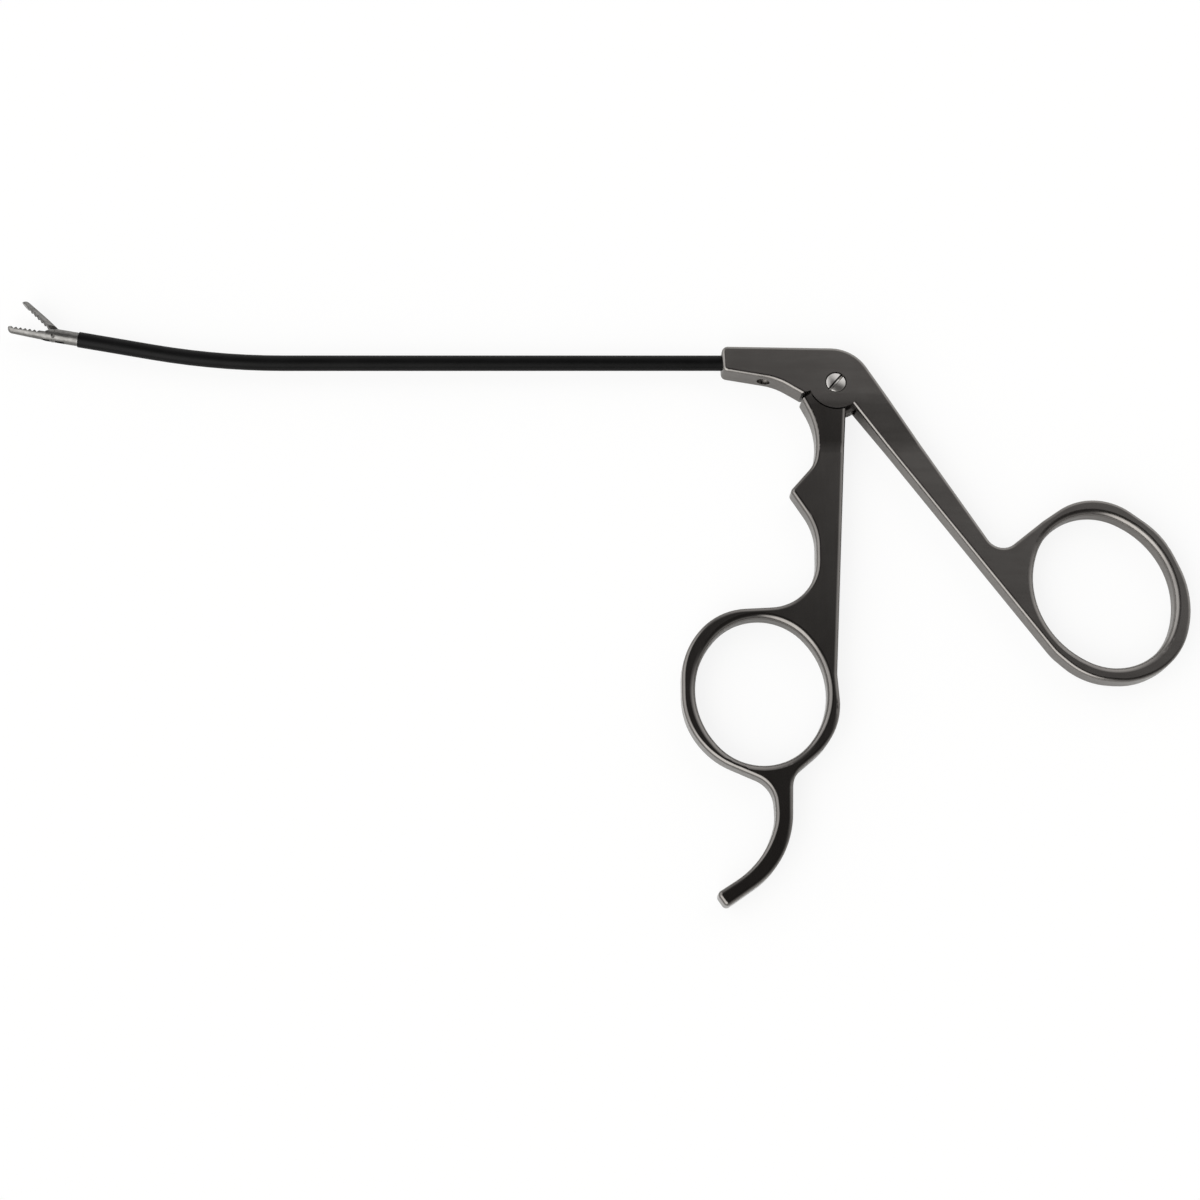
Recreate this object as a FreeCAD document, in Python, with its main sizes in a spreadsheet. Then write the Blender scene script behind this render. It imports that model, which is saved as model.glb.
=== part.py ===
import FreeCAD, Part
import math
import os

import Sketcher
from FreeCAD import Placement, Rotation, Vector

# Insulated grasping forceps with a ring handle, lying on one side.
# The origin is on the handle's pivot axis, at the level of the side that it lies on.
# X runs back from the jaws to the thumb ring, Y up towards the shaft, Z out of the flat side.
# Lengths are in millimetres and angles in degrees.

SIZES = {
    # the plates of the handle
    "body_thickness": 5.0,
    "arm_thickness": 4.05,
    "taper_start_y": -3.2,
    "taper_end_y": -12.5,
    "taper_round": 40.0,
    "stock_top_y": 9.0,
    "stock_bottom_y": -100.0,
    "stock_width": 200.0,
    "rim_round": 0.6,
    "trigger_round": 0.75,
    "opening_round": 1.05,
    # the oval ring openings: half sizes, radius of the ends, angle of the flanks, lean from X
    "finger_x": -15.84,
    "finger_y": -58.04,
    "finger_half_long": 13.33,
    "finger_half_short": 11.7,
    "finger_end_round": 10.6,
    "finger_flank": 49.6,
    "finger_lean": 90.0,
    "thumb_x": 46.67,
    "thumb_y": -39.85,
    "thumb_half_long": 14.59,
    "thumb_half_short": 12.44,
    "thumb_end_round": 11.0,
    "thumb_flank": 49.8,
    "thumb_lean": -68.9,
    # the pivot
    "hub_radius": 5.0,
    "hub_start_angle": 199.0,
    "hub_end_angle": 305.8,
    "trigger_hollow_radius": 5.25,
    "screw_head_diameter": 3.8,
    "screw_head_seat": 1.0,
    "screw_head_sink": 0.05,
    "screw_recess_diameter": 3.92,
    "recess_mouth": 4.0,
    "screw_diameter": 2.4,
    "screw_bore_diameter": 2.46,
    "screw_end_sink": 0.15,
    "screw_slot_width": 0.62,
    "screw_slot_depth": 0.7,
    "screw_slot_angle": 48.0,
    "screw_slot_reach": 3.0,
    "screw_edge_round": 0.2,
    # the tongue of the trigger and its slot in the body
    "tongue_thickness": 2.2,
    "tongue_radius": 5.8,
    "tongue_shoulder": -0.45,
    "tongue_arm_foot": 2.6,
    "tongue_arm_end": 1.15,
    "tongue_arm_top": 5.85,
    "tongue_top_round": 0.9,
    "slot_thickness": 2.3,
    "slot_radius": 6.25,
    "slot_corner_flat": 0.05,
    "slot_arm_foot": 3.7,
    "slot_arm_end": 1.75,
    "slot_arm_top": 6.1,
    "slot_top_round": 1.0,
    "slit_thickness": 1.1,
    "slit_floor": 3.5,
    "slit_half_width": 4.0,
    "slit_mouth": 8.0,
    "coupling_radius": 4.736,
    "coupling_pin_diameter": 1.1,
    "coupling_bore_diameter": 1.16,
    # the shaft
    "shaft_height": 4.73,
    "tube_diameter": 2.5,
    "tube_bore": 1.4,
    "sleeve_diameter": 2.84,
    "socket_end_x": -11.0,
    "sleeve_end_x": -18.2,
    "bend_start_x": -100.83,
    "bend_radius": 131.5,
    "bend_angle": 10.4,
    "tube_run": 13.75,
    "sleeve_run": 13.65,
    "set_screw_x": -13.1,
    "set_screw_diameter": 2.4,
    "set_screw_foot": 1.75,
    "set_screw_mouth": -3.0,
    "set_screw_socket_diameter": 1.1,
    "set_screw_socket_floor": 2.6,
    # the drive inside the shaft
    "rod_diameter": 1.0,
    "rod_end_diameter": 1.5,
    "rod_end_front_x": -9.5,
    "rod_end_back_x": -2.0,
    "rod_channel_diameter": 1.62,
    "channel_end_x": -1.0,
    "neck_front_x": -3.0,
    "neck_half_height": 0.6,
    "eye_thickness": 1.0,
    "eye_diameter": 1.9,
    "wire_diameter": 0.8,
    "wire_straight": 2.0,
    # the jaws, measured along and across the axis of the shaft's tip
    "tip_radius": 1.25,
    "split_height": 0.05,
    "running_fit": 0.03,
    "jaw_gap": 0.08,
    "jaw_pivot_along": 18.2,
    "jaw_pivot_across": -0.55,
    "jaw_lever": 1.15,
    "jaw_opening": 34.5,
    "jaw_slot_back": 16.1,
    "jaw_slot_front": 20.1,
    "jaw_slot_width": 0.86,
    "jaw_pin_diameter": 0.7,
    "jaw_pin_length": 1.9,
    "tang_thickness": 0.78,
    "tang_pivot_bore": 0.76,
    "tang_drive_bore": 0.72,
    "drive_pin_diameter": 0.6,
    "drive_pin_length": 1.9,
    "face_cut_back": 0.5,
    "heel_crest_x": -0.4,
    "fixed_notch_top": 1.0,
    "moving_notch_foot": -0.4,
    "tooth_start": 20.85,
    "tooth_pitch": 0.86,
    "tooth_width": 0.74,
    "tooth_depth": 0.32,
    "tooth_count": 6,
    "spigot_back": 10.0,
    "spigot_radius": 0.7,
    "tail_back": 9.5,
    "tail_radius": 0.45,
    "tail_bore_radius": 0.5,
    "tail_bore_front": 14.65,
    "tail_bore_back": 5.0,
    "slider_back": 13.8,
    "slider_slot_back": 16.5,
    "slider_nose_top": 18.3,
    "slider_nose_foot": 19.75,
}

# Corner points of the two plates' outlines, each with the radius that rounds it.
BODY_CORNERS = {
    "front_top": (-20.75, 7.18, 1.1),
    "shoulder": (3.59, 6.77, 7.7),
    "throat": (28.12, -33.21, 3.16),
    "thumb_upper": (36.52, -26.68, 10.9),
    "thumb_top": (46.34, -20.14, 11.2),
    "thumb_back": (58.38, -29.46, 15.4),
    "thumb_rear": (63.17, -41.27, 17.6),
    "thumb_lower": (59.55, -53.24, 13.0),
    "thumb_bottom": (50.87, -57.05, 12.7),
    "thumb_front": (42.21, -56.4, 13.1),
    "leg_foot": (36.81, -51.45, 9.9),
    "stop_corner": (-6.4, -2.1, 0.0),
    "belly": (-10.85, 0.65, 11.3),
    "front_bottom": (-20.63, 2.38, 1.0),
}
TRIGGER_CORNERS = {
    "nose": (-6.35, -3.2, 0.0),
    "hidden_front": (-3.0, -1.35, 0.0),
    "hidden_back": (1.86, -2.5, 0.0),
    "ring_back": (-2.27, -54.99, 6.1),
    "ring_low_back": (-1.82, -63.79, 12.0),
    "ring_heel": (-5.58, -68.86, 14.5),
    "tail_crotch": (-10.88, -73.19, 4.6),
    "tail_back": (-11.26, -81.85, 16.3),
    "tail_low": (-13.37, -89.45, 15.8),
    "tail_end_back": (-23.35, -96.2, 0.8),
    "tail_end_front": (-25.0, -93.75, 0.8),
    "tail_bow": (-16.67, -88.52, 16.2),
    "tail_front": (-14.1, -81.02, 10.0),
    "tail_root": (-14.42, -74.8, 5.0),
    "ring_low_front": (-24.25, -70.4, 14.0),
    "ring_front": (-30.02, -63.96, 13.9),
    "ring_high_front": (-29.79, -50.93, 13.7),
    "ring_top": (-23.31, -43.08, 11.6),
    "lower_notch_foot": (-5.27, -42.26, 8.8),
    "lower_notch_top": (-4.79, -27.86, 11.6),
    "cusp": (-9.2, -20.78, 0.8),
    "upper_notch_foot": (-4.55, -15.57, 5.2),
    "upper_notch_top": (-3.53, -9.04, 14.4),
}

# Corner points of the two jaws, seen from the side: (back from the tip's start, height, round).
FIXED_JAW_CORNERS = {
    "fixed_waist_back": (-19.6, 1.25, 0.0),
    "fixed_waist": (-20.7, 1.13, 0.0),
    "fixed_blade": (-22.6, 1.08, 0.0),
    "fixed_nose": (-26.75, 0.92, 0.9),
}
MOVING_JAW_CORNERS = {
    "moving_back": (-0.9, 1.25, 0.0),
    "moving_waist": (-3.6, 1.24, 0.0),
    "moving_nose": (-9.1, 1.0, 0.95),
    "heel_foot": (-2.4, 0.68, 0.0),
    "heel_top": (-1.0, 1.75, 0.0),
}
TANG_CORNERS = {
    "knuckle_back": (0.8, -0.8, 0.78),
    "knuckle_front": (-0.78, -0.8, 0.68),
    "tang_rise": (-0.95, 0.2, 0.3),
    "tang_under": (-1.75, 0.72, 0.2),
    "tang_front_foot": (-3.4, 0.85, 0.0),
    "tang_front_top": (-3.4, 1.3, 0.0),
    "tang_lobe_front": (-1.0, 1.72, 0.5),
    "tang_lobe_back": (0.25, 1.72, 0.5),
}

# Lengths of cuts that only have to reach past the metal.
PLATE_CUT = 20.0
HUB_CUT = 10.0
TIP_CUT = 4.0
BESIDE_TIP = 3.0
AHEAD_OF_TIP = -30.0
# A flank between two rounded corners that is shorter than this is left out.
SHORTEST_LINE = 0.01

doc = FreeCAD.newDocument("insulated_forceps")
sheet = doc.addObject("Spreadsheet::Sheet", "Dims")
named_sizes = []


def add_cell(name, content):
    """Put one named size, or a formula on named sizes, in the sheet."""
    named_sizes.append(name)
    cell = "B%d" % len(named_sizes)
    sheet.set("A%d" % len(named_sizes), name)
    sheet.set(cell, content)
    sheet.setAlias(cell, name)


def add_corners(corners):
    for name, (x, y, radius) in corners.items():
        add_cell(name + "_x", repr(x))
        add_cell(name + "_y", repr(y))
        add_cell(name + "_round", repr(radius))


for size_name, size in SIZES.items():
    add_cell(size_name, repr(size))
for corner_table in (BODY_CORNERS, TRIGGER_CORNERS, FIXED_JAW_CORNERS, MOVING_JAW_CORNERS,
                     TANG_CORNERS):
    add_corners(corner_table)

FORMULAS = {
    "mid_height": "=body_thickness / 2",
    "arm_half": "=arm_thickness / 2",
    # the round hub, and the point where the tangents at its two ends meet
    "hub_start_x": "=hub_radius * cos(hub_start_angle * 1deg)",
    "hub_start_y": "=hub_radius * sin(hub_start_angle * 1deg)",
    "hub_end_x": "=hub_radius * cos(hub_end_angle * 1deg)",
    "hub_end_y": "=hub_radius * sin(hub_end_angle * 1deg)",
    "hub_mid_angle": "=(hub_start_angle + hub_end_angle) / 2",
    "hub_reach": "=hub_radius / cos((hub_end_angle - hub_start_angle) / 2 * 1deg)",
    "hub_corner_x": "=hub_reach * cos(hub_mid_angle * 1deg)",
    "hub_corner_y": "=hub_reach * sin(hub_mid_angle * 1deg)",
    # the motion: the jaw's pin moves this far, and the trigger turns this much for it
    "drive_travel": "=2 * jaw_lever * sin(jaw_opening / 2 * 1deg)",
    "trigger_travel": "=2 * asin(drive_travel / 2 / coupling_radius) / 1deg",
    "coupling_lean": "=trigger_travel / 2",
    "coupling_x": "=coupling_radius * sin(coupling_lean * 1deg)",
    "coupling_y": "=coupling_radius * cos(coupling_lean * 1deg)",
    # the shaft and its bend, with the start of the tip's axis
    "tip_x": "=bend_start_x - bend_radius * sin(bend_angle * 1deg)",
    "tip_y": "=shaft_height + bend_radius * (1 - cos(bend_angle * 1deg))",
    "socket_mouth_x": "=front_top_x - 1",
    "sleeve_radius": "=sleeve_diameter / 2",
    "tube_radius": "=tube_diameter / 2",
    "channel_radius": "=rod_channel_diameter / 2",
    "rod_radius": "=rod_diameter / 2",
    "rod_end_radius": "=rod_end_diameter / 2",
    "wire_start_x": "=bend_start_x + wire_straight",
    "set_screw_radius": "=set_screw_diameter / 2",
    "set_screw_socket_radius": "=set_screw_socket_diameter / 2",
    "set_screw_top": "=shaft_height - tube_radius",
    # the pivot screw, from the middle of the body's thickness
    "screw_radius": "=screw_diameter / 2",
    "screw_head_radius": "=screw_head_diameter / 2",
    "screw_top": "=mid_height - screw_head_sink",
    "screw_seat": "=mid_height - screw_head_seat",
    "screw_end": "=-mid_height + screw_end_sink",
    "screw_recess_radius": "=screw_recess_diameter / 2",
    "screw_slot_half": "=screw_slot_width / 2",
    "screw_slot_cut": "=screw_slot_depth * 2",
    "trigger_hollow_diameter": "=trigger_hollow_radius * 2",
    "tongue_corner_round": "=tongue_radius + tongue_shoulder",
    "slot_corner_round": "=slot_radius - slot_corner_flat",
    # the places of the jaw's two pins
    "jaw_pivot_x": "=tip_x - jaw_pivot_along * cos(bend_angle * 1deg)"
                   " + jaw_pivot_across * sin(bend_angle * 1deg)",
    "jaw_pivot_y": "=tip_y + jaw_pivot_along * sin(bend_angle * 1deg)"
                   " + jaw_pivot_across * cos(bend_angle * 1deg)",
    "drive_pin_along": "=jaw_pivot_along - jaw_lever * sin(jaw_opening / 2 * 1deg)",
    "drive_pin_across": "=jaw_pivot_across + jaw_lever * cos(jaw_opening / 2 * 1deg)",
    "drive_pin_x": "=tip_x - drive_pin_along * cos(bend_angle * 1deg)"
                   " + drive_pin_across * sin(bend_angle * 1deg)",
    "drive_pin_y": "=tip_y + drive_pin_along * sin(bend_angle * 1deg)"
                   " + drive_pin_across * cos(bend_angle * 1deg)",
    "drive_bore_reach": "=jaw_lever * (1 + cos(jaw_opening / 2 * 1deg)) / 2",
    "drive_bore_x": "=-drive_bore_reach * sin(jaw_opening / 2 * 1deg)",
    "drive_bore_y": "=drive_bore_reach * cos(jaw_opening / 2 * 1deg)",
    # the meeting planes of the jaws and the slider
    "jaw_axis_height": "=-jaw_pivot_across",
    "moving_plane": "=jaw_axis_height + split_height + jaw_gap",
    "slider_floor": "=split_height + running_fit",
    # one notch between teeth, the one nearest the tip
    "last_tooth_x": "=-tooth_start - tooth_pitch * (tooth_count - 1)",
    "last_tooth_mid_x": "=last_tooth_x - tooth_width / 2",
    "last_tooth_end_x": "=last_tooth_x - tooth_width",
    "fixed_notch_floor": "=split_height - tooth_depth",
    "tooth_rows": "=tooth_pitch * (tooth_count - 1)",
    "moving_tooth_x": "=last_tooth_x + jaw_pivot_along",
    "moving_tooth_mid_x": "=last_tooth_mid_x + jaw_pivot_along",
    "moving_tooth_end_x": "=last_tooth_end_x + jaw_pivot_along",
    "moving_notch_floor": "=moving_plane + tooth_depth",
}
# An oval opening is a rhombus with its four corners rounded until little is left of its flanks.
for ring in ("finger", "thumb"):
    FORMULAS.update({
        ring + "_long_reach": "={0}_half_long - {0}_end_round"
                              " + {0}_end_round / cos({0}_flank * 1deg)".format(ring),
        ring + "_short_reach": "={0}_long_reach / tan({0}_flank * 1deg)".format(ring),
        ring + "_side_round": "=({0}_short_reach - {0}_half_short)"
                              " / (1 / sin({0}_flank * 1deg) - 1)".format(ring),
    })
for formula_name, formula in FORMULAS.items():
    add_cell(formula_name, formula)
doc.recompute()


def number(value):
    """A plain number, or the value of a named size, with a minus sign before it if wanted."""
    if not isinstance(value, str):
        return float(value)
    sign = -1.0 if value.startswith("-") else 1.0
    cell = getattr(sheet, value.lstrip("-"))
    return sign * float(getattr(cell, "Value", cell))


def expression(value):
    if value.startswith("-"):
        return "-Dims." + value[1:]
    return "Dims." + value


def new_body(label, base=("", "", "mid_height"), turn=None):
    """A body whose own middle plane is z = 0, set down at its place in the instrument."""
    body = doc.addObject("PartDesign::Body", label)
    body.Label = label
    for axis, alias in zip("xyz", base):
        if alias:
            body.setExpression("Placement.Base." + axis, expression(alias))
    if turn:
        body.setExpression("Placement.Rotation.Angle", turn)
    return body


def new_sketch(body, name, role="XY_Plane"):
    sketch = body.newObject("Sketcher::SketchObject", name)
    plane = [item for item in body.Origin.OriginFeatures if item.Role == role][0]
    sketch.AttachmentSupport = (plane, [""])
    sketch.MapMode = "FlatFace"
    return sketch


def corner_geometry(before, here, after):
    """Where a rounded corner's arc starts and ends, its centre, and whether it turns left."""
    corner = Vector(here[0], here[1], 0)
    back = Vector(before[0], before[1], 0) - corner
    ahead = Vector(after[0], after[1], 0) - corner
    back.normalize()
    ahead.normalize()
    radius = here[2]
    if radius == 0:
        return corner, corner, None, True
    half_turn = (math.pi - back.getAngle(ahead)) / 2
    run = radius * math.tan(half_turn)
    bisector = back + ahead
    bisector.normalize()
    centre = corner + bisector * (radius / math.cos(half_turn))
    turns_left = ahead.cross(back).z > 0
    return corner + back * run, corner + ahead * run, centre, turns_left


def draw_outline(sketch, corners):
    """Draw a closed outline from its corners (x, y, radius), tied to the named sizes."""
    flat = [tuple(number(value) for value in corner) for corner in corners]
    count = len(flat)
    marks = [corner_geometry(flat[i - 1], flat[i], flat[(i + 1) % count]) for i in range(count)]
    lines, arcs = {}, {}
    for i in range(count):
        start, end = marks[i][1], marks[(i + 1) % count][0]
        if (end - start).Length > SHORTEST_LINE:
            lines[i] = sketch.addGeometry(Part.LineSegment(start, end), False)
    for i in range(count):
        start, end, centre, turns_left = marks[i]
        if centre is None:
            continue
        if not turns_left:
            start, end = end, start
        circle = Part.Circle(centre, Vector(0, 0, 1), flat[i][2])
        angles = [math.atan2(point.y - centre.y, point.x - centre.x) for point in (start, end)]
        arcs[i] = sketch.addGeometry(Part.ArcOfCircle(circle, angles[0], angles[1]), False)
    rules, bound = [], []

    def rule(*terms):
        rules.append(Sketcher.Constraint(*terms))

    def place(shape, point, corner, here):
        for kind, value, size_here in zip(("DistanceX", "DistanceY"), corner, here):
            rule(kind, -1, 1, shape, point, size_here)
            if isinstance(value, str):
                bound.append((len(rules) - 1, value))

    for i in range(count):
        line_in, line_out = lines.get((i - 1) % count), lines.get(i)
        if i not in arcs:
            if line_in is not None and line_out is not None:
                rule("Coincident", line_in, 2, line_out, 1)
            if line_out is not None:
                place(line_out, 1, corners[i], flat[i])
            else:
                place(line_in, 2, corners[i], flat[i])
            continue
        arc, turns_left = arcs[i], marks[i][3]
        arc_in, arc_out = (1, 2) if turns_left else (2, 1)
        rule("Radius", arc, flat[i][2])
        if isinstance(corners[i][2], str):
            bound.append((len(rules) - 1, corners[i][2]))
        if line_in is None:
            rule("Coincident", lines[(i - 2) % count], 2, arc, arc_in)
        else:
            rule("Tangent", line_in, 2, arc, arc_in)
        if line_out is None:
            rule("Coincident", lines[(i + 1) % count], 1, arc, arc_out)
        else:
            rule("Tangent", arc, arc_out, line_out, 1)
        if line_in is not None and line_out is not None:
            point = sketch.addGeometry(Part.Point(Vector(flat[i][0], flat[i][1], 0)), True)
            place(point, 1, corners[i], flat[i])
            rule("PointOnObject", point, 1, line_in)
            rule("PointOnObject", point, 1, line_out)
    ids = sketch.addConstraint(rules)
    for position, alias in bound:
        sketch.setExpression("Constraints[%d]" % ids[position], expression(alias))


def draw_circle(sketch, x, y, diameter):
    """Draw a circle tied to the named sizes of its centre and its diameter."""
    centre = Vector(number(x), number(y), 0)
    ring = sketch.addGeometry(Part.Circle(centre, Vector(0, 0, 1), number(diameter) / 2), False)
    rules = [
        Sketcher.Constraint("DistanceX", -1, 1, ring, 3, centre.x),
        Sketcher.Constraint("DistanceY", -1, 1, ring, 3, centre.y),
        Sketcher.Constraint("Diameter", ring, number(diameter)),
    ]
    ids = sketch.addConstraint(rules)
    for index, value in zip(ids, (x, y, diameter)):
        if isinstance(value, str):
            sketch.setExpression("Constraints[%d]" % index, expression(value))


def add_feature(body, kind, name, profile, **values):
    """Add a feature on a sketch; each value is a named size, a number or a setting."""
    feature = body.newObject("PartDesign::" + kind, name)
    feature.Profile = profile
    profile.Visibility = False
    for prop, value in values.items():
        if isinstance(value, str) and value in named_sizes:
            feature.setExpression(prop, expression(value))
        else:
            setattr(feature, prop, value)
    return feature


def through(body, name, profile, depth):
    """Cut a profile away on both sides of its sketch's plane."""
    return add_feature(body, "Pocket", name, profile, Midplane=True, Length=depth)


def turned(body, name, profile, kind="Revolution", axis="H_Axis"):
    """Turn a profile about an axis of its own sketch, to add or to cut."""
    feature = add_feature(body, kind, name, profile, Angle=360.0)
    feature.ReferenceAxis = (profile, [axis])
    return feature


def rim_edges(shape, wanted):
    """Names of the edges between the plate's flat sides and its walls that pass a test."""
    names = []
    for index, edge in enumerate(shape.Edges, 1):
        middle = edge.valueAt((edge.FirstParameter + edge.LastParameter) / 2)
        steep = 0
        for face in shape.ancestorsOfType(edge, Part.Face):
            u, v = face.Surface.parameter(middle)
            if abs(face.normalAt(u, v).z) > 0.9:
                steep += 1
        if steep == 1 and wanted(edge, middle):
            names.append("Edge%d" % index)
    return names


def round_edges(body, name, wanted, radius):
    base = body.Tip
    fillet = body.newObject("PartDesign::Fillet", name)
    fillet.Base = (base, rim_edges(base.Shape, wanted))
    fillet.setExpression("Radius", expression(radius))
    doc.recompute()
    return fillet


def corners_of(table, order):
    return [(name + "_x", name + "_y", name + "_round") for name in order if name in table]


def plate_blank(body):
    """The stock that both plates are cut from: thick at the pivot, thinner towards the rings."""
    side = new_sketch(body, body.Label + "_thickness", "YZ_Plane")
    draw_outline(side, [
        ("stock_top_y", "mid_height", 0),
        ("stock_top_y", "-mid_height", 0),
        ("taper_start_y", "-mid_height", "taper_round"),
        ("taper_end_y", "-arm_half", "taper_round"),
        ("stock_bottom_y", "-arm_half", 0),
        ("stock_bottom_y", "arm_half", 0),
        ("taper_end_y", "arm_half", "taper_round"),
        ("taper_start_y", "mid_height", "taper_round"),
    ])
    return add_feature(body, "Pad", body.Label + "_stock", side, Midplane=True, Length="stock_width")


def cut_to_outline(body, corners):
    """Cut away everything outside the outline."""
    margin = 105.0
    sketch = new_sketch(body, body.Label + "_outline")
    draw_outline(sketch, corners)
    draw_outline(sketch, [(-margin, -margin, 0), (margin, -margin, 0), (margin, margin, 0),
                          (-margin, margin, 0)])
    return through(body, body.Label + "_edge", sketch, PLATE_CUT)


def oval_opening(body, ring):
    """A ring's oval opening, its long axis leaning by an angle from X."""
    sketch = new_sketch(body, ring + "_opening_outline")
    sketch.setExpression("AttachmentOffset.Base.x", expression(ring + "_x"))
    sketch.setExpression("AttachmentOffset.Base.y", expression(ring + "_y"))
    sketch.setExpression("AttachmentOffset.Rotation.Angle", "Dims.%s_lean * 1 deg" % ring)
    end, side = ring + "_end_round", ring + "_side_round"
    draw_outline(sketch, [
        (ring + "_long_reach", 0, end), (0, ring + "_short_reach", side),
        ("-" + ring + "_long_reach", 0, end), (0, "-" + ring + "_short_reach", side)])
    return through(body, ring + "_opening", sketch, PLATE_CUT)


def in_opening(ring):
    """A test for the rim edges of a ring's opening, which lie on its oval."""
    centre = Vector(number(ring + "_x"), number(ring + "_y"), 0)
    lean = math.radians(number(ring + "_lean"))
    along = Vector(math.cos(lean), math.sin(lean), 0)
    across = Vector(-math.sin(lean), math.cos(lean), 0)
    half_long, half_short = number(ring + "_half_long"), number(ring + "_half_short")

    def is_inside(edge, middle):
        away = middle - centre
        return math.hypot(away.dot(along) / half_long, away.dot(across) / half_short) < 1.05
    return is_inside


def make_handle_body():
    """The fixed plate: shaft socket, pivot cheeks, back leg and thumb ring in one piece."""
    body = new_body("handle_body")
    plate_blank(body)
    corners = corners_of(BODY_CORNERS, [
        "front_top", "shoulder", "throat", "thumb_upper", "thumb_top", "thumb_back", "thumb_rear",
        "thumb_lower", "thumb_bottom", "thumb_front", "leg_foot"])
    corners += [("hub_end_x", "hub_end_y", 0), ("hub_corner_x", "hub_corner_y", "hub_radius"),
                ("hub_start_x", "hub_start_y", 0)]
    corners += corners_of(BODY_CORNERS, ["stop_corner", "belly", "front_bottom"])
    cut_to_outline(body, corners)
    oval_opening(body, "thumb")
    doc.recompute()
    hub_reach = number("hub_radius") + 1.2
    at_opening = in_opening("thumb")

    def away_from_hub(edge, middle):
        at_hub = math.hypot(middle.x, middle.y) < hub_reach and middle.y < -1.0
        return not at_opening(edge, middle) and not at_hub

    round_edges(body, "thumb_opening_round", at_opening, "opening_round")
    round_edges(body, "outline_round", away_from_hub, "rim_round")

    slot = new_sketch(body, "tongue_slot_outline")
    draw_outline(slot, [
        ("-slot_radius", 0, 0), ("-slot_radius", "-slot_radius", "slot_corner_round"),
        ("slot_radius", "-slot_radius", "slot_corner_round"), ("slot_radius", 0, 0),
        ("slot_arm_foot", 0, 0),
        ("slot_arm_end", "slot_arm_top", "slot_top_round"),
        ("-slot_arm_end", "slot_arm_top", "slot_top_round"), ("-slot_arm_foot", 0, 0)])
    through(body, "tongue_slot", slot, "slot_thickness")
    bore = new_sketch(body, "screw_bore_outline")
    draw_circle(bore, 0, 0, "screw_bore_diameter")
    through(body, "screw_bore", bore, HUB_CUT)
    recess = new_sketch(body, "screw_recess_outline", "XZ_Plane")
    draw_outline(recess, [(0, "screw_seat", 0), ("screw_recess_radius", "screw_seat", 0),
                          ("screw_recess_radius", "recess_mouth", 0), (0, "recess_mouth", 0)])
    turned(body, "screw_recess", recess, "Groove", "V_Axis")
    socket = new_sketch(body, "shaft_socket_outline")
    socket.setExpression("AttachmentOffset.Base.y", expression("shaft_height"))
    draw_outline(socket, [
        ("socket_mouth_x", 0, 0), ("channel_end_x", 0, 0), ("channel_end_x", "channel_radius", 0),
        ("socket_end_x", "channel_radius", 0), ("socket_end_x", "tube_radius", 0),
        ("sleeve_end_x", "tube_radius", 0), ("sleeve_end_x", "sleeve_radius", 0),
        ("socket_mouth_x", "sleeve_radius", 0)])
    turned(body, "shaft_socket", socket, "Groove")
    hole = new_sketch(body, "set_screw_hole_outline")
    hole.setExpression("AttachmentOffset.Base.x", expression("set_screw_x"))
    draw_outline(hole, [(0, "set_screw_mouth", 0), ("set_screw_radius", "set_screw_mouth", 0),
                        ("set_screw_radius", "set_screw_top", 0), (0, "set_screw_top", 0)])
    turned(body, "set_screw_hole", hole, "Groove", "V_Axis")
    return body


def make_finger_handle():
    """The moving plate: finger ring with its hooks, and the tongue that turns in the body."""
    body = new_body("finger_handle")
    plate_blank(body)
    cut_to_outline(body, corners_of(TRIGGER_CORNERS, TRIGGER_CORNERS))
    oval_opening(body, "finger")
    hollow = new_sketch(body, "hub_hollow_outline")
    draw_circle(hollow, 0, 0, "trigger_hollow_diameter")
    through(body, "hub_hollow", hollow, HUB_CUT)
    doc.recompute()
    hub_reach = number("trigger_hollow_radius") + 1.1
    at_opening = in_opening("finger")

    def away_from_hub(edge, middle):
        at_hub = math.hypot(middle.x, middle.y) < hub_reach
        return not at_opening(edge, middle) and not at_hub

    round_edges(body, "finger_opening_round", at_opening, "opening_round")
    round_edges(body, "trigger_outline_round", away_from_hub, "trigger_round")

    tongue = new_sketch(body, "tongue_outline")
    tongue.setExpression("AttachmentOffset.Rotation.Angle", "-Dims.coupling_lean * 1 deg")
    draw_outline(tongue, [
        ("-tongue_radius", "tongue_shoulder", 0),
        ("-tongue_radius", "-tongue_radius", "tongue_corner_round"),
        ("tongue_radius", "-tongue_radius", "tongue_corner_round"),
        ("tongue_radius", "tongue_shoulder", 0), ("tongue_arm_foot", "tongue_shoulder", 0),
        ("tongue_arm_end", "tongue_arm_top", "tongue_top_round"),
        ("-tongue_arm_end", "tongue_arm_top", "tongue_top_round"),
        ("-tongue_arm_foot", "tongue_shoulder", 0)])
    add_feature(body, "Pad", "tongue", tongue, Midplane=True, Length="tongue_thickness")
    holes = new_sketch(body, "tongue_bore_outline")
    draw_circle(holes, 0, 0, "screw_bore_diameter")
    draw_circle(holes, "coupling_x", "coupling_y", "coupling_pin_diameter")
    through(body, "tongue_bores", holes, HUB_CUT)
    slit = new_sketch(body, "tongue_slit_outline")
    draw_outline(slit, [
        ("-slit_half_width", "slit_floor", 0), ("slit_half_width", "slit_floor", 0),
        ("slit_half_width", "slit_mouth", 0), ("-slit_half_width", "slit_mouth", 0)])
    through(body, "tongue_slit", slit, "slit_thickness")
    return body


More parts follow.
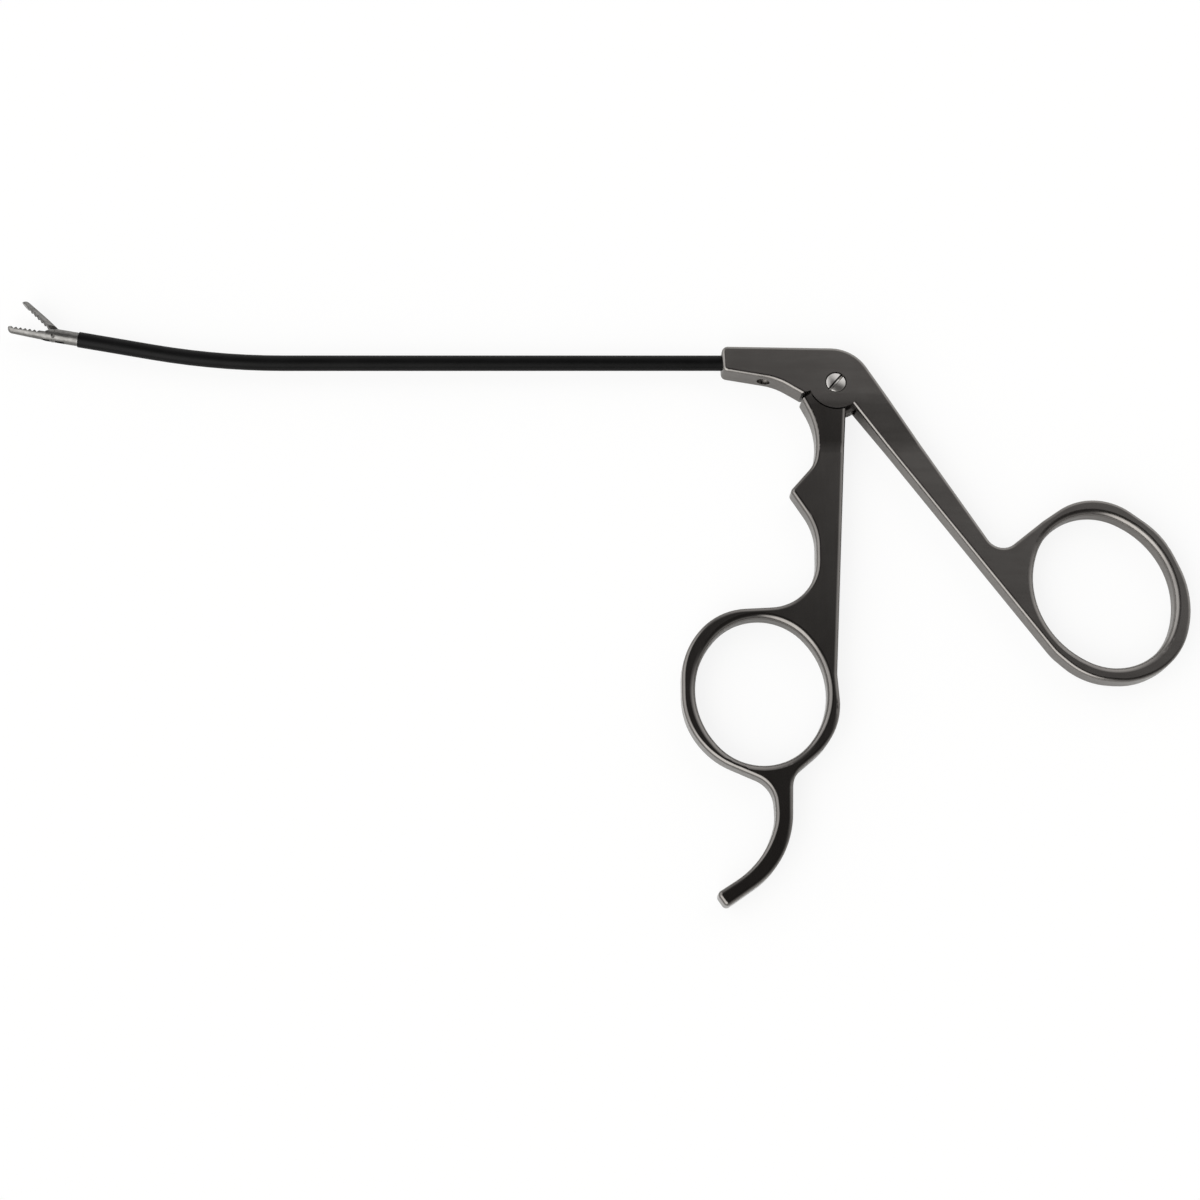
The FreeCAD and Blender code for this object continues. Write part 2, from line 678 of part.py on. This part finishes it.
def make_pipe(label, start, run, outer, inner=None):
    """A round bar or tube that follows the bent shaft from a point to a run past the bend."""
    body = new_body(label)
    section = new_sketch(body, label + "_section", "YZ_Plane")
    section.setExpression("AttachmentOffset.Base.x", expression("shaft_height"))
    section.setExpression("AttachmentOffset.Base.z", expression(start))
    draw_circle(section, 0, 0, outer)
    if inner:
        draw_circle(section, 0, 0, inner)
    path = new_sketch(body, label + "_path")
    height, radius, angle = (number(name) for name in ("shaft_height", "bend_radius", "bend_angle"))
    bend_start = Vector(number("bend_start_x"), height, 0)
    tip = Vector(number("tip_x"), number("tip_y"), 0)
    lean = math.radians(angle)
    ahead = Vector(-math.cos(lean), math.sin(lean), 0)
    bend = Part.Circle(bend_start + Vector(0, radius, 0), Vector(0, 0, 1), radius)
    turn_end = 1.5 * math.pi
    straight = path.addGeometry(Part.LineSegment(Vector(number(start), height, 0), bend_start))
    arc = path.addGeometry(Part.ArcOfCircle(bend, turn_end - lean, turn_end))
    end = path.addGeometry(Part.LineSegment(tip, tip + ahead * number(run)))
    rules = [
        Sketcher.Constraint("DistanceX", -1, 1, straight, 1, number(start)),
        Sketcher.Constraint("DistanceY", -1, 1, straight, 1, height),
        Sketcher.Constraint("DistanceX", -1, 1, straight, 2, bend_start.x),
        Sketcher.Constraint("Radius", arc, radius),
        Sketcher.Constraint("DistanceX", -1, 1, arc, 1, tip.x),
        Sketcher.Constraint("Distance", end, number(run)),
        Sketcher.Constraint("Horizontal", straight),
        Sketcher.Constraint("Tangent", straight, 2, arc, 2),
        Sketcher.Constraint("Tangent", arc, 1, end, 1),
    ]
    ids = path.addConstraint(rules)
    bound = (start, "shaft_height", "bend_start_x", "bend_radius", "tip_x", run)
    for index, name in zip(ids, bound):
        path.setExpression("Constraints[%d]" % index, expression(name))
    pipe = add_feature(body, "AdditivePipe", label + "_pipe", section)
    pipe.Spine = (path, [])
    path.Visibility = False
    return body


def make_pivot_screw():
    body = new_body("pivot_screw")
    profile = new_sketch(body, "pivot_screw_profile", "XZ_Plane")
    draw_outline(profile, [
        (0, "screw_end", 0), ("screw_radius", "screw_end", 0), ("screw_radius", "screw_seat", 0),
        ("screw_head_radius", "screw_seat", 0), ("screw_head_radius", "screw_top", "screw_edge_round"),
        (0, "screw_top", 0)])
    turned(body, "pivot_screw_turning", profile, axis="V_Axis")
    slot = new_sketch(body, "driver_slot_outline")
    slot.setExpression("AttachmentOffset.Base.z", expression("screw_top"))
    slot.setExpression("AttachmentOffset.Rotation.Angle", "Dims.screw_slot_angle * 1 deg")
    draw_outline(slot, [
        ("-screw_slot_reach", "-screw_slot_half", 0), ("screw_slot_reach", "-screw_slot_half", 0),
        ("screw_slot_reach", "screw_slot_half", 0), ("-screw_slot_reach", "screw_slot_half", 0)])
    through(body, "driver_slot", slot, "screw_slot_cut")
    return body


def make_set_screw():
    body = new_body("shaft_set_screw", ("set_screw_x", "", "mid_height"))
    profile = new_sketch(body, "set_screw_profile")
    draw_outline(profile, [
        (0, "set_screw_socket_floor", 0), ("set_screw_socket_radius", "set_screw_socket_floor", 0),
        ("set_screw_socket_radius", "set_screw_foot", 0), ("set_screw_radius", "set_screw_foot", 0),
        ("set_screw_radius", "set_screw_top", 0), (0, "set_screw_top", 0)])
    turned(body, "set_screw_turning", profile, axis="V_Axis")
    return body


def make_pin(label, base, diameter, length, turn=None):
    body = new_body(label, base, turn)
    sketch = new_sketch(body, label + "_section")
    draw_circle(sketch, 0, 0, diameter)
    add_feature(body, "Pad", label + "_bar", sketch, Midplane=True, Length=length)
    return body


def make_drive_rod():
    """The straight rod in the shaft; its eye sits in the slit of the trigger's tongue."""
    body = new_body("drive_rod", ("", "shaft_height", "mid_height"))
    profile = new_sketch(body, "drive_rod_profile")
    draw_outline(profile, [
        ("wire_start_x", 0, 0), ("rod_end_back_x", 0, 0), ("rod_end_back_x", "rod_end_radius", 0),
        ("rod_end_front_x", "rod_end_radius", 0), ("rod_end_front_x", "rod_radius", 0),
        ("wire_start_x", "rod_radius", 0)])
    turned(body, "drive_rod_turning", profile)
    neck = new_sketch(body, "eye_neck_outline")
    draw_outline(neck, [
        ("neck_front_x", "-neck_half_height", 0), ("coupling_x", "-neck_half_height", 0),
        ("coupling_x", "neck_half_height", 0), ("neck_front_x", "neck_half_height", 0)])
    add_feature(body, "Pad", "eye_neck", neck, Midplane=True, Length="eye_thickness")
    eye = new_sketch(body, "eye_outline")
    draw_circle(eye, "coupling_x", 0, "eye_diameter")
    add_feature(body, "Pad", "eye", eye, Midplane=True, Length="eye_thickness")
    bore = new_sketch(body, "eye_bore_outline")
    draw_circle(bore, "coupling_x", 0, "coupling_bore_diameter")
    through(body, "eye_bore", bore, HUB_CUT)
    return body


TIP = ("tip_x", "tip_y", "mid_height")
TIP_TURN = "-Dims.bend_angle * 1 deg"


def cut_teeth(body, names, floor, plane, away):
    """Cut one notch across a jaw's face and repeat it towards the back."""
    start, middle, end = names
    notch = new_sketch(body, body.Label + "_notch_outline")
    draw_outline(notch, [(start, plane, 0), (middle, floor, 0), (end, plane, 0),
                         (end, away, 0), (start, away, 0)])
    first = through(body, body.Label + "_notch", notch, TIP_CUT)
    row = body.newObject("PartDesign::LinearPattern", body.Label + "_teeth")
    row.Originals = [first]
    row.Direction = (notch, ["H_Axis"])
    row.setExpression("Length", expression("tooth_rows"))
    row.setExpression("Occurrences", expression("tooth_count"))
    body.Tip = row
    return row


def make_fixed_jaw():
    """The lower jaw: a half-round blade with a spigot that fills the end of the tube."""
    body = new_body("fixed_jaw", TIP, TIP_TURN)
    profile = new_sketch(body, "fixed_jaw_profile")
    corners = [("-spigot_back", 0, 0), ("-spigot_back", "spigot_radius", 0),
               ("-tube_run", "spigot_radius", 0), ("-tube_run", "tip_radius", 0)]
    corners += corners_of(FIXED_JAW_CORNERS, FIXED_JAW_CORNERS)
    corners.append(("fixed_nose_x", 0, 0))
    draw_outline(profile, corners)
    turned(body, "fixed_jaw_turning", profile)
    bore = new_sketch(body, "tail_bore_outline")
    draw_outline(bore, [("-tail_bore_back", 0, 0), ("-tail_bore_back", "tail_bore_radius", 0),
                        ("-tail_bore_front", "tail_bore_radius", 0), ("-tail_bore_front", 0, 0)])
    turned(body, "tail_bore", bore, "Groove")
    flat = new_sketch(body, "jaw_flat_outline")
    draw_outline(flat, [("-tube_run", "split_height", 0), ("-tube_run", BESIDE_TIP, 0),
                        (AHEAD_OF_TIP, BESIDE_TIP, 0), (AHEAD_OF_TIP, "split_height", 0)])
    through(body, "jaw_flat", flat, TIP_CUT)
    slot = new_sketch(body, "jaw_slot_outline")
    draw_outline(slot, [("-jaw_slot_back", -BESIDE_TIP, 0), ("-jaw_slot_back", BESIDE_TIP, 0),
                        ("-jaw_slot_front", BESIDE_TIP, 0), ("-jaw_slot_front", -BESIDE_TIP, 0)])
    through(body, "jaw_slot", slot, "jaw_slot_width")
    hole = new_sketch(body, "jaw_pin_hole_outline")
    draw_circle(hole, "-jaw_pivot_along", "jaw_pivot_across", "jaw_pin_diameter")
    through(body, "jaw_pin_hole", hole, TIP_CUT)
    cut_teeth(body, ("last_tooth_x", "last_tooth_mid_x", "last_tooth_end_x"),
              "fixed_notch_floor", "split_height", "fixed_notch_top")
    return body


def make_jaw_slider():
    """The upper half of the tip: it slides on the lower jaw and carries the drive pin."""
    body = new_body("jaw_slider", TIP, TIP_TURN)
    profile = new_sketch(body, "jaw_slider_profile")
    draw_outline(profile, [
        ("-tail_back", 0, 0), ("-tail_back", "tail_radius", 0), ("-slider_back", "tail_radius", 0),
        ("-slider_back", "tip_radius", 0), ("-slider_nose_foot", "tip_radius", 0),
        ("-slider_nose_foot", 0, 0)])
    turned(body, "jaw_slider_turning", profile)
    floor = new_sketch(body, "slider_floor_outline")
    draw_outline(floor, [("-slider_back", "slider_floor", 0), ("-slider_back", -BESIDE_TIP, 0),
                         (AHEAD_OF_TIP, -BESIDE_TIP, 0), (AHEAD_OF_TIP, "slider_floor", 0)])
    through(body, "slider_floor", floor, TIP_CUT)
    nose = new_sketch(body, "slider_nose_outline")
    draw_outline(nose, [
        ("-slider_nose_foot", "slider_floor", 0), ("-slider_nose_top", "tip_radius", 0),
        ("-slider_nose_top", BESIDE_TIP, 0), (AHEAD_OF_TIP, BESIDE_TIP, 0),
        (AHEAD_OF_TIP, "slider_floor", 0)])
    through(body, "slider_nose", nose, TIP_CUT)
    slot = new_sketch(body, "slider_slot_outline")
    draw_outline(slot, [("-slider_slot_back", -BESIDE_TIP, 0), ("-slider_slot_back", BESIDE_TIP, 0),
                        (AHEAD_OF_TIP, BESIDE_TIP, 0), (AHEAD_OF_TIP, -BESIDE_TIP, 0)])
    through(body, "slider_slot", slot, "jaw_slot_width")
    hole = new_sketch(body, "drive_pin_hole_outline")
    draw_circle(hole, "-drive_pin_along", "drive_pin_across", "drive_pin_diameter")
    through(body, "drive_pin_hole", hole, TIP_CUT)
    return body


def make_moving_jaw():
    """The upper jaw, with the tang that turns on the jaw pin; drawn closed, set down open."""
    body = new_body("moving_jaw", ("jaw_pivot_x", "jaw_pivot_y", "mid_height"),
                    "-(Dims.bend_angle + Dims.jaw_opening) * 1 deg")
    profile = new_sketch(body, "moving_jaw_profile")
    profile.setExpression("AttachmentOffset.Base.y", expression("jaw_axis_height"))
    corners = [("moving_back_x", 0, 0)]
    corners += corners_of(MOVING_JAW_CORNERS, ["moving_back", "moving_waist", "moving_nose"])
    corners.append(("moving_nose_x", 0, 0))
    draw_outline(profile, corners)
    turned(body, "moving_jaw_turning", profile)
    under = new_sketch(body, "moving_jaw_face_outline")
    draw_outline(under, [
        ("face_cut_back", -BESIDE_TIP, 0), (AHEAD_OF_TIP, -BESIDE_TIP, 0),
        (AHEAD_OF_TIP, "moving_plane", 0), ("heel_foot_x", "moving_plane", 0),
        ("heel_top_x", "heel_top_y", 0), ("heel_crest_x", BESIDE_TIP, 0),
        ("face_cut_back", BESIDE_TIP, 0)])
    through(body, "moving_jaw_face", under, TIP_CUT)
    tang = new_sketch(body, "tang_outline")
    draw_outline(tang, corners_of(TANG_CORNERS, TANG_CORNERS))
    add_feature(body, "Pad", "tang", tang, Midplane=True, Length="tang_thickness")
    holes = new_sketch(body, "tang_bore_outline")
    draw_circle(holes, 0, 0, "tang_pivot_bore")
    draw_circle(holes, "drive_bore_x", "drive_bore_y", "tang_drive_bore")
    through(body, "tang_bores", holes, TIP_CUT)
    cut_teeth(body, ("moving_tooth_x", "moving_tooth_mid_x", "moving_tooth_end_x"),
              "moving_notch_floor", "moving_plane", "moving_notch_foot")
    return body


bodies = [
    make_handle_body(),
    make_finger_handle(),
    make_pivot_screw(),
    make_pin("coupling_pin", ("coupling_x", "coupling_y", "mid_height"),
             "coupling_pin_diameter", "tongue_thickness"),
    make_set_screw(),
    make_pipe("shaft_tube", "socket_end_x", "tube_run", "tube_diameter", "tube_bore"),
    make_pipe("insulation_sleeve", "sleeve_end_x", "sleeve_run", "sleeve_diameter",
              "tube_diameter"),
    make_drive_rod(),
    make_pipe("drive_wire", "wire_start_x", "tail_back", "wire_diameter"),
    make_fixed_jaw(),
    make_jaw_slider(),
    make_moving_jaw(),
    make_pin("jaw_pivot_pin", ("jaw_pivot_x", "jaw_pivot_y", "mid_height"),
             "jaw_pin_diameter", "jaw_pin_length"),
    make_pin("jaw_drive_pin", ("drive_pin_x", "drive_pin_y", "mid_height"),
             "drive_pin_diameter", "drive_pin_length"),
]
doc.recompute()

for item in doc.Objects:
    if "Invalid" in item.State or "Error" in item.State:
        raise RuntimeError("%s did not build: %s" % (item.Name, item.State))
os.makedirs("parts", exist_ok=True)
for body in bodies:
    shape = body.Shape
    if not shape.isValid() or len(shape.Solids) != 1:
        raise RuntimeError("%s is not one sound solid" % body.Label)
    shape.exportStep("parts/%s.step" % body.Label)
    print("%-18s %9.3f mm3" % (body.Label, shape.Volume))
print("jaw opening %.1f deg, drive travel %.3f mm, trigger travel %.3f deg" % (
    number("jaw_opening"), number("drive_travel"), number("trigger_travel")))
for name in ("tip_x", "tip_y", "jaw_pivot_x", "jaw_pivot_y", "coupling_x", "coupling_y"):
    print(name, round(number(name), 5))
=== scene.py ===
import bpy
import math
from mathutils import Matrix, Vector


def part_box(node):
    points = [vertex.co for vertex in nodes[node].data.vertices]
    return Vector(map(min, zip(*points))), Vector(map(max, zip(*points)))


# Insulated forceps lying on one side on a white sweep, seen from above.
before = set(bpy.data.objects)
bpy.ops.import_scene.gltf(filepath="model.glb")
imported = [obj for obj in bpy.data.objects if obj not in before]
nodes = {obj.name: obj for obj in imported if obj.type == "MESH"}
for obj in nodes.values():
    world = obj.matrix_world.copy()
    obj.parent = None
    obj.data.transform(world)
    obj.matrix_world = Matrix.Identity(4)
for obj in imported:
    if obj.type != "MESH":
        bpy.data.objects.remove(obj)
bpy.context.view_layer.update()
mm = 0.001


# A socket of a shader that takes part in sums like a plain number.
class Signal:
    def __init__(self, shader, socket):
        self.shader = shader
        self.socket = socket

    def combine(self, operation, first, second=None):
        sockets = {0: first} if second is None else {0: first, 1: second}
        return self.shader.node("ShaderNodeMath", {"operation": operation}, sockets)

    def __add__(self, other):
        return self.combine("ADD", self, other)

    def __radd__(self, other):
        return self.combine("ADD", other, self)

    def __sub__(self, other):
        return self.combine("SUBTRACT", self, other)

    def __rsub__(self, other):
        return self.combine("SUBTRACT", other, self)

    def __mul__(self, other):
        return self.combine("MULTIPLY", self, other)

    def __rmul__(self, other):
        return self.combine("MULTIPLY", other, self)

    def magnitude(self):
        return self.combine("ABSOLUTE", self)

    def sine(self):
        return self.combine("SINE", self)

    # Rises smoothly from 0 at one value to 1 at the other.
    def ramp(self, low, high):
        settings = {"interpolation_type": "SMOOTHSTEP"}
        return self.shader.node("ShaderNodeMapRange", settings, {0: self, 1: low, 2: high})

    def blend(self, first, second):
        settings = {"data_type": "RGBA", "blend_type": "MIX"}
        return self.shader.node("ShaderNodeMix", settings, {0: self, 6: first, 7: second}, 2)


# The node tree of a material or of the world.
class Shader:
    def __init__(self, tree):
        self.tree = tree
        tree.nodes.clear()

    def node(self, kind, settings=None, sockets=None, output=0):
        made = self.tree.nodes.new(kind)
        for name, value in (settings or {}).items():
            setattr(made, name, value)
        for name, value in (sockets or {}).items():
            self.feed(made.inputs[name], value)
        return Signal(self, made.outputs[output]) if made.outputs else None

    def feed(self, socket, value):
        if isinstance(value, Signal):
            self.tree.links.new(value.socket, socket)
            return
        if socket.type == "RGBA" and len(value) == 3:
            value = (*value, 1.0)
        socket.default_value = value

    def place(self):
        return self.node("ShaderNodeTexCoord", output="Object")

    # The place on the piece, scaled by a separate number in each direction.
    def stretched(self, along):
        return self.node("ShaderNodeVectorMath", {"operation": "MULTIPLY"},
                         {0: self.place(), 1: along})

    def noise(self, scale, detail, coarseness=0.6, along=(1.0, 1.0, 1.0)):
        sockets = {"Vector": self.stretched(along), "Scale": scale, "Detail": detail,
                   "Roughness": coarseness}
        return self.node("ShaderNodeTexNoise", {}, sockets, "Fac")

    # The height is a real one, in metres.
    def bump(self, height):
        return self.node("ShaderNodeBump", {}, {"Height": height, "Distance": 1.0})


def newMaterial(name):
    material = bpy.data.materials.new(name)
    material.use_nodes = True
    return material, Shader(material.node_tree)


def finishMaterial(shader, **sockets):
    surface = shader.node("ShaderNodeBsdfPrincipled", {}, sockets)
    shader.node("ShaderNodeOutputMaterial", {}, {"Surface": surface})


# A node of the frame gets its finished material in every slot.
def dress(nodeName, material):
    mesh = nodes[nodeName].data
    for index in range(len(mesh.materials)):
        mesh.materials[index] = material


print("stage: camera")
cameraView = {
    "toCamera": Vector((-0.0504, -0.2872, 0.95655)),
    "place": Vector((-64.982, -160.723, 402.336)) * mm,
    "rollDegrees": -0.2912,
    "lens": 70.41,
    "sensor": 36.0,
    "nearest": 0.01,
    "farthest": 20.0,
}


def makeCamera(view):
    toward = view["toCamera"].normalized()
    right = Vector((1, 0, 0)) - toward * toward.x
    right.normalize()
    up = toward.cross(right)
    roll = math.radians(view["rollDegrees"])
    right, up = (right * math.cos(roll) + up * math.sin(roll),
                 up * math.cos(roll) - right * math.sin(roll))
    data = bpy.data.cameras.new("camera")
    data.lens = view["lens"]
    data.sensor_width = view["sensor"]
    data.clip_start = view["nearest"]
    data.clip_end = view["farthest"]
    camera = bpy.data.objects.new("camera", data)
    turn = Matrix((right, up, toward)).transposed().to_4x4()
    camera.matrix_world = Matrix.Translation(view["place"]) @ turn
    bpy.context.scene.collection.objects.link(camera)
    bpy.context.scene.camera = camera


makeCamera(cameraView)

print("stage: light and floor")
white = (1.0, 1.0, 1.0)
studio = {
    "overhead": (0.070, 0.0660, 0.0635),
    "horizon": (0.64, 0.636, 0.624),
    "below": (0.60, 0.60, 0.60),
    "brightFrom": 0.10,
    "darkFrom": 0.80,
    "belowFrom": 0.0,
    "belowFull": -0.05,
    "floorTone": (0.90, 0.90, 0.895),
    "floorShade": 0.15,
    "floorHalf": 3.0,
    "windows": [
        {"toward": (0.55, 0.80, 0.25), "start": 0.47, "full": 0.95, "tone": (1.50, 1.49, 1.48)},
        {"toward": (-0.88, 0.28, 0.38), "start": 0.62, "full": 0.92, "tone": (1.90, 1.89, 1.88)},
        {"toward": (-0.52, -0.66, 0.54), "start": 0.74, "full": 0.95, "tone": (3.4, 3.38, 3.32)},
    ],
}


# A dark ceiling over a paler horizon. The window in front on the left is the brightest, and
# dimmer ones are at the left and behind. The camera sees white in place of all this.
def makeWorld(tones):
    world = bpy.data.worlds.new("studio")
    bpy.context.scene.world = world
    world.use_nodes = True
    shader = Shader(world.node_tree)
    direction = shader.node("ShaderNodeTexCoord", output="Generated")
    height = shader.node("ShaderNodeSeparateXYZ", {}, {"Vector": direction}, 2)
    colour = height.ramp(tones["brightFrom"], tones["darkFrom"]).blend(tones["horizon"],
                                                                       tones["overhead"])
    for window in tones["windows"]:
        facing = shader.node("ShaderNodeVectorMath", {"operation": "DOT_PRODUCT"},
                             {0: direction, 1: tuple(Vector(window["toward"]).normalized())},
                             "Value")
        colour = facing.ramp(window["start"], window["full"]).blend(colour, window["tone"])
    colour = height.ramp(tones["belowFrom"], tones["belowFull"]).blend(colour, tones["below"])
    seen = shader.node("ShaderNodeLightPath", output="Is Camera Ray")
    background = shader.node("ShaderNodeBackground", {}, {"Color": seen.blend(colour, white)})
    shader.node("ShaderNodeOutputWorld", {}, {"Surface": background})


# The camera sees the floor mostly as plain white, with what is left of the shadow on it.
def makeFloor(tones):
    half = tones["floorHalf"]
    mesh = bpy.data.meshes.new("floor")
    corners = [(-half, -half, 0), (half, -half, 0), (half, half, 0), (-half, half, 0)]
    mesh.from_pydata(corners, [], [(0, 1, 2, 3)])
    floor = bpy.data.objects.new("floor", mesh)
    bpy.context.scene.collection.objects.link(floor)
    material, shader = newMaterial("whiteSweep")
    plain = shader.node("ShaderNodeBsdfDiffuse", {}, {"Color": tones["floorTone"]})
    glow = shader.node("ShaderNodeEmission", {}, {"Color": white})
    seen = shader.node("ShaderNodeLightPath", output="Is Camera Ray")
    whitened = seen * (1.0 - tones["floorShade"])
    mixed = shader.node("ShaderNodeMixShader", {}, {0: whitened, 1: plain, 2: glow})
    shader.node("ShaderNodeOutputMaterial", {}, {"Surface": mixed})
    mesh.materials.append(material)


makeWorld(studio)
makeFloor(studio)
bpy.context.scene.view_settings.view_transform = "Standard"

print("stage: steel plates")
plateSteel = {
    "dark": (0.160, 0.151, 0.144),
    "light": (0.188, 0.179, 0.171),
    "roughness": 0.24,
    "roughnessSpread": 0.05,
    "cloudScale": 90.0,
    "cloudDetail": 4.0,
    "cloudShare": 0.6,
    "grainScale": 2600.0,
    "grainDetail": 2.0,
    "grainDepth": 0.0005 * mm,
    "brushScale": 900.0,
    "brushDetail": 3.0,
    "brushDepth": 0.0012 * mm,
    "brushAlong": (0.12, 1.0, 1.0),
    "darkBelow": 0.35,
    "lightAbove": 0.65,
}
polishedSteel = dict(plateSteel, dark=(0.140, 0.132, 0.126), light=(0.165, 0.157, 0.150),
                     roughness=0.15, roughnessSpread=0.04, brushAlong=(1.0, 0.12, 1.0))


# Satin steel with a fine blasted grain under light brush marks.
def makePlateSteel(name, steel):
    material, shader = newMaterial(name)
    cloud = shader.noise(steel["cloudScale"], steel["cloudDetail"])
    grain = shader.noise(steel["grainScale"], steel["grainDetail"])
    brush = shader.noise(steel["brushScale"], steel["brushDetail"], along=steel["brushAlong"])
    tone = cloud * steel["cloudShare"] + brush * (1.0 - steel["cloudShare"])
    tone = tone.ramp(steel["darkBelow"], steel["lightAbove"])
    colour = tone.blend(steel["dark"], steel["light"])
    roughness = steel["roughness"] + (cloud + grain - 1.0) * steel["roughnessSpread"]
    normal = shader.bump(grain * steel["grainDepth"] + brush * steel["brushDepth"])
    finishMaterial(shader, **{"Base Color": colour, "Metallic": 1.0, "Roughness": roughness,
                              "Normal": normal})
    return material


dress("handle_body", makePlateSteel("handleSteel", plateSteel))
dress("finger_handle", makePlateSteel("triggerSteel", polishedSteel))

print("stage: screws and pins")
turnedSteel = {
    "tint": (0.46, 0.449, 0.435),
    "roughness": 0.30,
    "roughnessSpread": 0.10,
    "spotScale": 900.0,
    "spotDetail": 3.0,
    "ringScale": 9000.0,
    "ringDepth": 0.0004 * mm,
    "domeRadius": 4.2 * mm,
}
# Painted shade for the recess of the screw's driver slot, with a painted glint line along its
# middle.
driverSlotPaint = {
    "paintedShade": (0.030, 0.029, 0.028),
    "paintedGlint": (0.600, 0.588, 0.570),
    "lean": math.radians(48.0),
    "halfWidth": 0.31 * mm,
    "edgeFade": 0.04 * mm,
    "paintedGlintHalf": 0.12 * mm,
}


# Painted shade and a painted highlight in the screw's slot: how far a place is from the middle
# line of the slot decides its colour, a painted dark band for the shade in the recess with a
# painted bright glint line along its middle.
def paintSlotShadeAndGlint(shader, tint, slot):
    across = (-math.sin(slot["lean"]), math.cos(slot["lean"]), 0.0)
    offset = shader.node("ShaderNodeVectorMath", {"operation": "DOT_PRODUCT"},
                         {0: shader.place(), 1: across}, "Value").magnitude()
    inside = offset.ramp(slot["paintedGlintHalf"], slot["paintedGlintHalf"] + slot["edgeFade"])
    inside = inside.blend(slot["paintedGlint"], slot["paintedShade"])
    outside = offset.ramp(slot["halfWidth"], slot["halfWidth"] + slot["edgeFade"])
    return outside.blend(inside, tint)


# Bright steel with the fine rings that a lathe leaves round an axis; where a slot is given, its
# recess gets painted shade and a painted glint line in the colour.
def makeTurnedSteel(name, steel, axisPlace, slot=None):
    material, shader = newMaterial(name)
    offset = shader.node("ShaderNodeVectorMath", {"operation": "SUBTRACT"},
                         {0: shader.place(), 1: axisPlace})
    flat = shader.node("ShaderNodeVectorMath", {"operation": "MULTIPLY"},
                       {0: offset, 1: (1.0, 1.0, 0.0)})
    reach = shader.node("ShaderNodeVectorMath", {"operation": "LENGTH"}, {0: flat}, "Value")
    rings = (reach * steel["ringScale"]).sine()
    spots = shader.noise(steel["spotScale"], steel["spotDetail"])
    roughness = steel["roughness"] + (spots - 0.5) * steel["roughnessSpread"]
    dome = reach * reach * (-0.5 / steel["domeRadius"])
    normal = shader.bump(dome + rings * steel["ringDepth"])
    # Inside the slot the colour is painted shade and a painted glint, not the steel's own tint.
    colour = paintSlotShadeAndGlint(shader, steel["tint"], slot) if slot else steel["tint"]
    finishMaterial(shader, **{"Base Color": colour, "Metallic": 1.0,
                              "Roughness": roughness, "Normal": normal})
    return material


pivotPlace = (0.0, 0.0, 0.0)
dress("pivot_screw", makeTurnedSteel("screwSteel", turnedSteel, pivotPlace, driverSlotPaint))
for pinName in ("coupling_pin", "jaw_pivot_pin", "jaw_drive_pin", "shaft_set_screw"):
    pinPlace = tuple(sum(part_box(pinName), Vector()) / 2)
    dress(pinName, makeTurnedSteel(pinName + "_steel", turnedSteel, pinPlace))

print("stage: shaft")
insulation = {
    "tint": (0.0015, 0.0015, 0.0016),
    "worn": (0.0030, 0.0030, 0.0032),
    "wornFrom": 0.4,
    "wornTo": 0.7,
    "cloudScale": 120.0,
    "cloudDetail": 4.0,
    "roughness": 0.42,
    "roughnessSpread": 0.12,
    "skinScale": 700.0,
    "skinDetail": 3.0,
    "skinCoarseness": 0.5,
    "skinAlong": (0.25, 1.0, 1.0),
    "skinDepth": 0.006 * mm,
    "specularLevel": 0.11,
}


# Black shrunk-on plastic with a faint unevenness along the shaft.
def makeInsulation(name, plastic):
    material, shader = newMaterial(name)
    skin = shader.noise(plastic["skinScale"], plastic["skinDetail"], plastic["skinCoarseness"],
                        plastic["skinAlong"])
    cloud = shader.noise(plastic["cloudScale"], plastic["cloudDetail"])
    wear = cloud.ramp(plastic["wornFrom"], plastic["wornTo"])
    colour = wear.blend(plastic["tint"], plastic["worn"])
    roughness = plastic["roughness"] + (skin - 0.5) * plastic["roughnessSpread"]
    normal = shader.bump(skin * plastic["skinDepth"])
    finishMaterial(shader, **{"Base Color": colour, "Roughness": roughness, "Normal": normal,
                              "Specular IOR Level": plastic["specularLevel"]})
    return material


tubeSteel = dict(plateSteel, **{
    "dark": (0.23, 0.225, 0.22),
    "light": (0.275, 0.27, 0.265),
    "roughness": 0.28,
    "roughnessSpread": 0.08,
    "cloudScale": 260.0,
    "grainScale": 6000.0,
    "grainDepth": 0.0008 * mm,
    "brushScale": 3500.0,
    "brushDepth": 0.0006 * mm,
    "brushAlong": (0.1, 1.0, 1.0),
})
dress("insulation_sleeve", makeInsulation("insulationBlack", insulation))
shaftSteel = makePlateSteel("shaftSteel", tubeSteel)
for innerName in ("shaft_tube", "drive_rod", "drive_wire"):
    dress(innerName, shaftSteel)

print("stage: jaws")
jawSteel = dict(tubeSteel, dark=(0.120, 0.117, 0.113), light=(0.200, 0.196, 0.190),
                roughness=0.34, cloudScale=900.0, grainDepth=0.0020 * mm,
                brushAlong=(0.2, 1.0, 1.0))
jawMaterial = makePlateSteel("jawSteel", jawSteel)
for jawName in ("fixed_jaw", "moving_jaw", "jaw_slider"):
    dress(jawName, jawMaterial)
